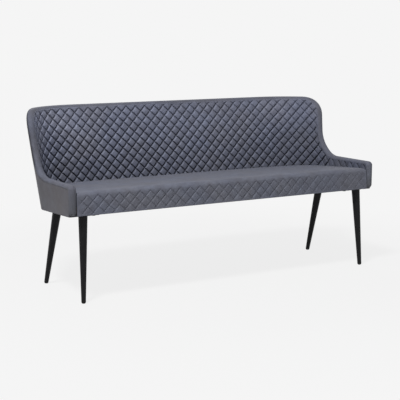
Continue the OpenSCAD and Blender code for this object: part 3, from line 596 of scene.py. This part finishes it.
# Quilting
def on_cloth(s, z):
    """Where a point of the lining lies on the quilted cloth before it was drawn over the shell."""
    a = np.abs(s)
    level = z - CLOTH_LEVEL
    turned = smoothstep(a, *CORNER_TURN)
    slack = np.exp(-((a - CORNER_AT) / CORNER_W) ** 2)
    along = s * (CLOTH_STRETCH - CLOTH_DRAW * level) + CLOTH_ALONG + CLOTH_LEAN * level
    along = along - CORNER_SLACK * slack + CORNER_EASE * turned
    up = z - DIAMOND_LEVEL + CLOTH_UP + CLOTH_TILT * s + CLOTH_RISE * level
    up = up - np.where(s < 0, *CORNER_DROP) * turned
    return along, up - ARM_STRETCH * (z - ARM_LEVEL) * smoothstep(a, *ARM_TURN)


def pillow(along, up, falling=1.0, rising=1.0):
    """Rise of the quilting, 0 on the stitch lines and 1 in the middle of a diamond: the cloth
    turns up steeply beside the stitches and is nearly flat between them. The last two values
    say how hard the falling and the rising lines are drawn in."""
    dome = turned_up = 1.0
    for sign, drawn in ((1, falling), (-1, rising)):
        line = along / DIAMOND_W + sign * up / DIAMOND_H
        away = np.abs(line - np.round(line)) * 2
        dome = dome * (1 - drawn * (1 - away) ** 2)
        turned_up = turned_up * (1 - drawn * (1 - np.clip(away / QUILT_TURN, 0, 1)) ** 2)
    return TURN_RISE * turned_up + (1 - TURN_RISE) * dome


def rim_distance(s, z):
    """Distance in the unrolled lining from the rim's outer line."""
    rn, rz = rim_line(0.0, bottom=False)
    rs = run_at(rn, rz)
    rs = np.concatenate([[rs[0]], rs])
    rz = np.concatenate([[UNDERSIDE_H - 0.05], rz])
    best = np.full(s.shape, 1e9)
    a = np.abs(s)
    for k in range(len(rs) - 1):
        ex, ez = rs[k + 1] - rs[k], rz[k + 1] - rz[k]
        length = ex * ex + ez * ez
        if length < 1e-14:
            continue
        t = np.clip(((a - rs[k]) * ex + (z - rz[k]) * ez) / length, 0, 1)
        best = np.minimum(best, (a - rs[k] - t * ex) ** 2 + (z - rz[k] - t * ez) ** 2)
    return np.sqrt(best)


def roll_depth(b):
    """Depth of the edge roll's inner half at the distance b below the rim."""
    return ARM_T / 2 * (1 + np.sqrt(np.clip(1 - ((ROLL_D - b) / ROLL_D) ** 2, 0, 1)))


def lining_tone(s, z, b, on_arm, left_wing):
    """Painted light and shade that the lining's colour is multiplied by, and the strength of its
    dark
    lines of painted groove shade: each is a product of what changes it from one region to another."""
    upper = smoothstep(z, 0.62, 0.74)
    right_wing = smoothstep(s, *WING_AT) * smoothstep(z, 0.54, 0.64)
    upward = 0.66 + 0.34 * smoothstep(z, 0.42, 0.74)
    rightward = 1 - 0.12 * smoothstep(s, 0.10, 0.80)
    upper_ends = 1 + 0.22 * smoothstep(np.abs(s), 0.35, 0.65) * upper
    lower_left = 1 - 0.10 * smoothstep(-s, 0.30, 0.60) * smoothstep(-z, -0.60, -0.50)
    # Painted shade low down, towards the right, at the lower left and on the right wing, and
    # painted light on the left wing and the upper ends
    painted_shading = upward * rightward * (1 + 0.14 * left_wing) * upper_ends * lower_left
    below_rim = smoothstep(b, 0.013, 0.034 - 0.010 * on_arm)
    upper_left = 1 - 0.6 * smoothstep(-s, 0.68, 0.82) * upper
    higher = 1 - 0.48 * smoothstep(z, 0.56, 0.76)
    strength = below_rim * (1 - 0.30 * left_wing) * upper_left * higher
    return painted_shading * (1 - 0.09 * right_wing), strength * (1 - 0.35 * right_wing)


def make_lining():
    """The quilted lining, from deep behind the seat up to the edge roll, closed at its back."""
    length = RUN - LINING_EDGE
    n = count_of_run(np.linspace(-length, length, LINING_COLUMNS))
    low = foot_z(n, DECK_H - LINING_FOOT, ARM_T, 1.0)
    high = rim_z(n, LINING_EDGE)
    z = low + np.linspace(0, 1, LINING_ROWS)[:, None] * (high - low)
    n = np.broadcast_to(n, z.shape)
    s = run_at(n, z)
    b = rim_distance(s, z)
    along, up = on_cloth(s, z)
    # The rising lines are drawn in hardest; the falling ones are weaker towards the right wing,
    # and alone on the arms, where the cloth is pulled round to the front
    falling_draw = 0.95 - 0.30 * smoothstep(s, -0.45, 0.35) - 0.15 * smoothstep(s, 0.45, 0.72)
    on_arm = smoothstep(np.abs(s), *ON_ARM)
    falling_draw = falling_draw + (1 - falling_draw) * on_arm
    rising_draw = 1 - 0.85 * on_arm
    dome = pillow(along, up, falling_draw, rising_draw)
    left_wing = smoothstep(-s, *WING_AT)
    fade = smoothstep(b, 0.011, 0.032 - 0.008 * on_arm) * (1 - 0.30 * left_wing)
    depth = np.where(b < ROLL_D, roll_depth(b), ARM_T) + SKIN
    depth = depth - PUFF * (1 - dome) * fade + DIAMOND_OUT * dome * fade
    lined = smoothstep(b, 0.010, 0.050)
    points = wall(n, z, depth, lined)
    painted_shading, strength = lining_tone(s, z, b, on_arm, left_wing)
    tone = np.stack([painted_shading, strength * rising_draw, strength * falling_draw], -1)
    uv = np.stack([along / DIAMOND_W, up / DIAMOND_H], -1)
    under = slice(None, None, -BACK_ROW_STEP)
    back = wall(n[under], z[under], ARM_T - PUFF - GAP, lined[under])
    points, uv, tone = [np.concatenate([front, rear]).swapaxes(0, 1) for front, rear in (
        (points, back), (uv, uv[under]), (tone, tone[under]))]
    obj = grid_object("quilted_lining", points, uv, tone, wrap=True, flip=True, caps=True)
    dressed(obj, LINING, "quilt", "quilted_back", "quilted_arm_left", "quilted_arm_right")


def rim_sweep(name, section, tone=None):
    """A closed tube along the rim. The section gives depths into the wall and distances in."""
    lines = [whole_rim(b) for _, b in section]
    points = np.stack([wall(n, z, d) for (n, z), (d, _) in zip(lines, section)], 1)
    shades = None if tone is None else tone(points)
    return grid_object(name, points, tone=shades, wrap=True, flip=True, caps=True)


def roll_tone(points):
    """Painted shade along the outer side, and darker and less blue down the fronts."""
    depth = np.broadcast_to(np.array(ROLL_DEPTHS)[None, :], points.shape[:2])
    above = np.maximum(smoothstep(points[..., 2], 0.53, 0.58), points[..., 0] > 0)
    # Painted shade on the roll's outer side: all along the right, and on the left only above the
    # arm
    outer = (1 - smoothstep(depth, 0.002, 0.012)) * above
    front = 1 - smoothstep(points[..., 2], ARM_H - 0.035, ARM_H - 0.008)
    dull = front[..., None] * (1, 1, 1.4)
    return (1 - 0.18 * dull) * (1 - 0.70 * outer)[..., None]


# From the lip that is tucked in at the outer side, over the round, to the one at the inner side
ROLL_SECTION = [(0.0032, ROLL_D + 0.004)] + [
    (ARM_T / 2 * (1 - cos(a)), ROLL_D * (1 - sin(a))) for a in np.linspace(0, pi, 25)] + [
    (ARM_T - GAP, ROLL_D + 0.003)]
ROLL_DEPTHS = [d for d, _ in ROLL_SECTION]


def make_roll():
    """The padded roll along the rim, from one arm's foot to the other's."""
    obj = rim_sweep("edge_roll_cover", ROLL_SECTION, roll_tone)
    dressed(obj, ROLL, "cover", "edge_roll")


def make_welt():
    """The thin piping below the roll, at its outer side."""
    r = WELT_D / 2
    section = [(GAP + r * (1 - cos(a)), ROLL_D + SKIN + r * (1 - sin(a)))
               for a in np.linspace(0, 2 * pi, 13)[:-1]]
    dressed(rim_sweep("rim_piping", section), WELT, "cover", "rim_welt")


def small_cover(name, end, points, flip):
    """A small piece of cover cloth at the right or the left arm, in a dark leather that stands in
    for the shade in the gaps. Its points and its flip are those of the right one, which the left
    one mirrors."""
    points = points * ((1, 1, 1) if end == "right" else (-1, 1, 1))
    obj = grid_object(f"{name}_{end}", points, flip=flip == (end == "right"))
    # Painted shade: the gap pieces get a dark leather in place of shade
    dressed(obj, GAP_SHADE_LEATHER, "cover")


def make_facing(end):
    """The roll's cloth carried on inside the arm, behind the seat's end."""
    near, deep = 0.009, 0.15
    below, over_deck = 0.0012, 0.008
    n = count_at(np.linspace(FRONT_Y + near, FRONT_Y + deep, 12), UNDERSIDE_H)
    t = np.linspace(0, 1, 12)[:, None]
    low, high = foot_z(n, -below, ARM_T), foot_z(n, DECK_H + over_deck, ARM_T)
    points = wall(n, low + t * (high - low), ARM_T - SKIN)
    small_cover("facing", end, points, True)


def make_rail_turn(end):
    """The front panel's cloth drawn round the end of the front rail, beside the facing."""
    width, off_rail = 0.016, 0.0004
    rail = nodes["front_rail"]
    rail_points = np.array([rail.matrix_world @ v.co for v in rail.data.vertices])
    y = rail_points[:, 1].min() - off_rail
    z = np.linspace(rail_points[:, 2].min(), rail_points[:, 2].max(), 8)
    outer = wall(count_at(y, z), z, ARM_T)
    points = np.stack([outer - (width, 0, 0), outer], 1)
    small_cover("rail_turn", end, points, False)


def make_foot_turn(end):
    """The cloth turned under the arm's foot behind the roll, with a lip up its front."""
    near, deep, lip_h = 0.0185, 0.12, 0.014
    n = count_at(np.linspace(FRONT_Y + near, FRONT_Y + deep, 14), UNDERSIDE_H)
    # Depths into the wall and heights over the underside, from the outer edge to the inner one
    section = [(0.0022, -0.0004), (0.0034, -0.0022), (0.018, -0.0026), (0.034, -0.0026),
               (0.046, -0.0024), (0.048, -0.0006)]
    lip = np.stack([wall(n[:1], foot_z(n[:1], h + lip_h, d), d) for d, h in section])
    turn = np.stack([wall(n, foot_z(n, h, d), d) for d, h in section])
    small_cover("foot_turn", end, np.concatenate([lip, turn], 1), True)


def make_outside():
    """The plain cover, tucked in below the welt and behind the arms' fronts, and turned under
    the frame at its foot."""
    inset = ROLL_D + WELT_D + GAP
    tuck = 0.0045
    n_tucked, n_front = [float(count_at(FRONT_Y + inset - back, ARM_H)) for back in (tuck, 0)]
    side = np.unique(np.round(rim_line(inset, bottom=False)[0], 6))[::-1]
    side = np.concatenate([[n_tucked, n_front], side[side < n_front - 1e-4]])
    n = np.concatenate([side, -side[-2::-1]])
    turned_in = np.zeros_like(n)
    turned_in[[0, -1]] = tuck
    foot = foot_z(n, 0.004, 0.0)
    high = rim_z(n, inset)
    high[0], high[-1] = high[1], high[-2]
    z = high + np.linspace(0, 1, 41)[:, None] * (foot - high)
    wave = WAVE * np.clip(soft_noise(wall(n, z, 0.0), 9.0, 3.0), -1, 1)
    lip = 0.0035
    rows = [wall(n, high + lip, lip + turned_in)[None], wall(n, z, turned_in - wave)]
    # Depths into the wall and heights over the underside, round the foot and back up to the frame
    section = [(0.0002, 0.0005), (0.0016, -0.0012), (0.004, -0.0018), (0.012, -0.0016),
               (0.024, -0.0014), (0.0245, -0.0002)]
    rows += [wall(n, foot_z(n, h, d), d + turned_in)[None] for d, h in section]
    points = np.concatenate(rows)
    obj = grid_object("outside_cover", points, flip=True)
    dressed(obj, COVER, "cover", "outside_back", "outside_arm_left", "outside_arm_right")


def seat_section(front, rear, edge_h, low_h):
    """The pad's section at mid width, from the foot of the front face round to it again: the
    name of each stretch, and depths and heights from the front edge of the underside."""
    bend = np.linspace(0, pi / 2, 15)[1:]
    behind = front + 0.004
    rows = [("face", front, h) for h in np.linspace(low_h, edge_h, 34)]
    rows += [("front", front + EDGE_R * (1 - cos(a)), edge_h + EDGE_R * sin(a)) for a in bend]
    rows += [("top", front + EDGE_R + t * (rear - front - 2 * EDGE_R), SEAT_T)
             for t in np.linspace(0, 1, 72)[1:-1]]
    rows += [("rear", rear - EDGE_R * (1 - cos(a)), edge_h + EDGE_R * sin(a)) for a in bend[::-1]]
    rows += [("skirt", rear, h) for h in np.linspace(edge_h, DECK_H, 8)[1:]]
    rows += [("under", behind + t * (rear - behind), DECK_H) for t in np.linspace(1, 0, 24)[1:]]
    rows += [("behind", behind, h) for h in np.linspace(DECK_H, low_h, 6)[1:]]
    kinds, depths, heights = zip(*rows)
    return np.array(kinds)[:, None], np.array(depths)[:, None], np.array(heights)[:, None]


def rounded(share):
    """How far a quarter round falls back, 0 where it starts and nearly 1 at its end."""
    return 1 - np.sqrt(1 - (0.98 * share) ** 2)


def make_seat():
    """One crowned pad: quilted front face, rounded edges and plain top."""
    even = np.linspace(-1, 1, 2 * SEAT_HALF_COLUMNS + 1)
    # Columns a little closer together towards the sides
    bunched = np.sin(even * pi / 2 * 0.9) / sin(pi / 2 * 0.9)
    share = 0.45 * bunched + 0.55 * even
    front = low_h = 0.0005
    edge_h = SEAT_T - EDGE_R
    side_d = ARM_T + GAP
    rear = to_seat(wall(0.0, foot_z(np.array(0.0), SEAT_T, side_d, 1.0), side_d, 1.0))[1]
    kinds, y, h = seat_section(front, rear, edge_h, low_h)
    y, h = y * np.ones_like(share), h * np.ones_like(share)
    flat = from_seat(0.0, y, h)
    half_w = reach(flat[..., 1], flat[..., 2], side_d)
    x = share * half_w
    gap = half_w - np.abs(x)
    # Rounded down towards the side walls, and crowned
    above = smoothstep(h, edge_h - 0.004, SEAT_T) * np.clip((h - edge_h) / EDGE_R, 0, 1)
    h = h - above * EDGE_R * rounded(np.clip(1 - gap / EDGE_R, 0, 1))
    depth_share = np.clip((y - front) / (rear - front), 0, 1)
    across = 0.6 + 0.4 * (1 - (2 * depth_share - 1) ** 4)
    h = h + CROWN * (1 - share ** 4) * across * np.clip((h - edge_h) / EDGE_R, 0, 1)
    # Shallow quilting on the front face, fading out at the rounded edge and towards the right
    along, up = x, h - 0.012
    is_front = (kinds == "face") | (kinds == "front")
    fade = 1 - smoothstep(h, edge_h - 0.006, edge_h + 0.010)
    fade = fade * smoothstep(h, 0.0, 0.012) * is_front
    fade = fade * (1 - 0.55 * smoothstep(x, 0.15, 0.70)) * smoothstep(gap, 0.006, 0.030)
    y = y + PANEL_PUFF * (1 - pillow(along, up)) * fade
    side_r = 0.006
    y = y + is_front * side_r * rounded(np.clip(1 - gap / side_r, 0, 1))
    points = from_seat(x, y, h)
    wave = soft_noise(points, 5.0, 11.0) * 0.0012 + soft_noise(points, 14.0, 5.0) * 0.0004
    points[..., 2] += wave * (kinds == "top") * smoothstep(gap, 0.004, 0.06)
    # Painted shade on the front face, lighter towards the rounded edge and the top, and the stitch
    # lines' painted shade and highlights where the quilting shows
    painted_shading = 0.88 + 0.12 * smoothstep(h, edge_h - 0.012, edge_h + 0.012)
    tone = np.stack([painted_shading, 0.42 * fade, 0.32 * fade], -1)
    uv = np.stack([along / DIAMOND_W, up / DIAMOND_H], -1)
    points, uv, tone = [a.swapaxes(0, 1) for a in (points, uv, tone)]
    obj = grid_object("seat_pad", points, uv, tone, wrap=True, flip=True, caps=True)
    dressed(obj, SEAT, "seat", "seat_cover", "front_panel")


def make_dust_cloth():
    """The cloth stapled under the frame, a little inside the foot of the wall."""
    inset, front, below = 0.012, 0.020, 0.0006
    n = np.concatenate([np.linspace(0, 1, 60), np.linspace(1, 2, 25)[1:],
                        np.linspace(2, 2.985, 60)[1:]])
    rim = to_seat(wall(n, foot_z(n, 0.0, inset), inset))
    order = np.argsort(rim[:, 1])
    ys = np.linspace(front, float(rim[:, 1].max()) - 0.0002, 60)
    half = np.interp(ys, rim[order, 1], rim[order, 0])
    points = from_seat(half[:, None] * np.linspace(-1, 1, 121), ys[:, None], -below)
    obj = grid_object("dust_cloth", points, flip=True)
    dressed(obj, CLOTH, "dust_cover", "dust_cover")


# The solids that stay as they are, and the pieces that dress them
def give(names, material):
    """Gives solids of the frame a material."""
    for name in names:
        mesh = nodes[name].data
        if not mesh.materials:
            mesh.materials.append(material)
        for k in range(len(mesh.materials)):
            mesh.materials[k] = material


corners = ("front_left", "front_right", "rear_left", "rear_right")
give([f"leg_{c}" for c in corners], LEG_BLACK)
give([f"glide_{c}" for c in corners], GLIDE_BLACK)
give(["leg_bolts"], BLACK_OXIDE)
give(["tee_nuts"], ZINC)
give([f"block_{c}" for c in corners] + [
    "front_rail", "rear_rail", "side_rail_left", "side_rail_right", "corner_rail_left",
    "corner_rail_right", "stretcher", "bearer_left", "bearer_middle", "bearer_right",
    "back_shell", "arm_panel_left", "arm_panel_right", "joint_batten_left",
    "joint_batten_right"], WOOD)
give(["cross_webbing", "long_webbing"], CLOTH)
give(["seat_foam", "back_foam", "arm_foam_left", "arm_foam_right"], FOAM)

make_lining()
make_roll()
make_welt()
for make_small in (make_facing, make_rail_turn, make_foot_turn):
    for arm in ("right", "left"):
        make_small(arm)
make_outside()
make_seat()
make_dust_cloth()


# Camera, fitted to the photograph
AZIMUTH = radians(-30.76)
ELEVATION = radians(9.26)
CAMERA_ROLL = radians(0.055)
FOCAL_PX = 1091.4
PICTURE_PX = 400
SENSOR_MM = 36.0
camera_data = bpy.data.cameras.new("camera")
camera_data.sensor_width = SENSOR_MM
camera_data.lens = FOCAL_PX / PICTURE_PX * SENSOR_MM
camera_data.clip_end = 100
camera = bpy.data.objects.new("camera", camera_data)
bpy.context.scene.collection.objects.link(camera)
camera.location = (-2.6522, -4.4683, 1.1924)
look = Euler((pi / 2 - ELEVATION, 0.0, AZIMUTH), "XYZ").to_matrix()
tilt = Euler((0.0, 0.0, CAMERA_ROLL), "XYZ").to_matrix()
camera.rotation_euler = (look @ tilt).to_euler()
bpy.context.scene.camera = camera


# Floor, background and soft light
BACKGROUND = srgb("f5f5f5")
# Distances between which the shadow on the floor fades out, and the share of plain background
# that is mixed in before them
SHADOW_FADE = (0.9, 2.2)
PLAIN_SHARE = 0.9


def make_floor():
    """White floor that shows a faint shadow near the bench and is background farther out."""
    size = 30.0
    mesh = bpy.data.meshes.new("floor")
    mesh.from_pydata([(-size, -size, 0), (size, -size, 0), (size, size, 0), (-size, size, 0)], [],
                     [(0, 1, 2, 3)])
    floor = bpy.data.objects.new("floor", mesh)
    bpy.context.scene.collection.objects.link(floor)
    mat, tree, shader = new_material("floor")
    output = tree.nodes["Material Output"]
    shader.inputs["Base Color"].default_value = (0.80, 0.80, 0.80, 1)
    shader.inputs["Roughness"].default_value = 1.0
    shader.inputs["Specular IOR Level"].default_value = 0.0
    glow = add(tree, "ShaderNodeEmission", Color=BACKGROUND)
    coords = add(tree, "ShaderNodeTexCoord").outputs["Object"]
    radius = add(tree, "ShaderNodeVectorMath", operation="LENGTH")
    tree.links.new(coords, radius.inputs[0])
    far = add(tree, "ShaderNodeMapRange", interpolation_type="SMOOTHSTEP")
    far.inputs["From Min"].default_value = SHADOW_FADE[0]
    far.inputs["From Max"].default_value = SHADOW_FADE[1]
    far.inputs["To Min"].default_value = PLAIN_SHARE
    tree.links.new(radius.outputs["Value"], far.inputs["Value"])
    share = add(tree, "ShaderNodeMath", operation="MULTIPLY")
    tree.links.new(seen_rays(tree), share.inputs[0])
    tree.links.new(far.outputs["Result"], share.inputs[1])
    mixed = add(tree, "ShaderNodeMixShader")
    tree.links.new(share.outputs["Value"], mixed.inputs["Fac"])
    tree.links.new(shader.outputs["BSDF"], mixed.inputs[1])
    tree.links.new(glow.outputs["Emission"], mixed.inputs[2])
    tree.links.new(mixed.outputs["Shader"], output.inputs["Surface"])
    mesh.materials.append(mat)


def make_world():
    """A background of one colour that lights the bench only softly."""
    world = bpy.data.worlds.new("studio")
    bpy.context.scene.world = world
    world.use_nodes = True
    tree = world.node_tree
    fill = tree.nodes["Background"]
    fill.inputs["Color"].default_value = (1.0, 1.0, 1.0, 1)
    fill.inputs["Strength"].default_value = 0.20
    backdrop = add(tree, "ShaderNodeBackground", Color=BACKGROUND, Strength=1.0)
    mixed = add(tree, "ShaderNodeMixShader")
    tree.links.new(seen_rays(tree), mixed.inputs["Fac"])
    tree.links.new(fill.outputs["Background"], mixed.inputs[1])
    tree.links.new(backdrop.outputs["Background"], mixed.inputs[2])
    tree.links.new(mixed.outputs["Shader"], tree.nodes["World Output"].inputs["Surface"])


def area_light(name, location, target, size, power):
    """A soft lamp that faces its target."""
    data = bpy.data.lights.new(name, "AREA")
    data.shape = "RECTANGLE"
    data.size, data.size_y = size
    data.energy = power
    lamp = bpy.data.objects.new(name, data)
    lamp.location = location
    lamp.rotation_euler = (Vector(target) - Vector(location)).to_track_quat("-Z", "Y").to_euler()
    bpy.context.scene.collection.objects.link(lamp)


make_floor()
make_world()
area_light("key", (-3.0, -2.2, 6.4), (0, 0.1, 0.6), (1.2, 1.2), 400)
area_light("front", (-0.6, -6.0, 2.2), (0, 0, 0.5), (2.4, 2.0), 36)
area_light("rear", (1.5, 6.0, 3.4), (0, 0.2, 0.5), (2.4, 2.0), 70)

view = bpy.context.scene.view_settings
view.view_transform = "Standard"
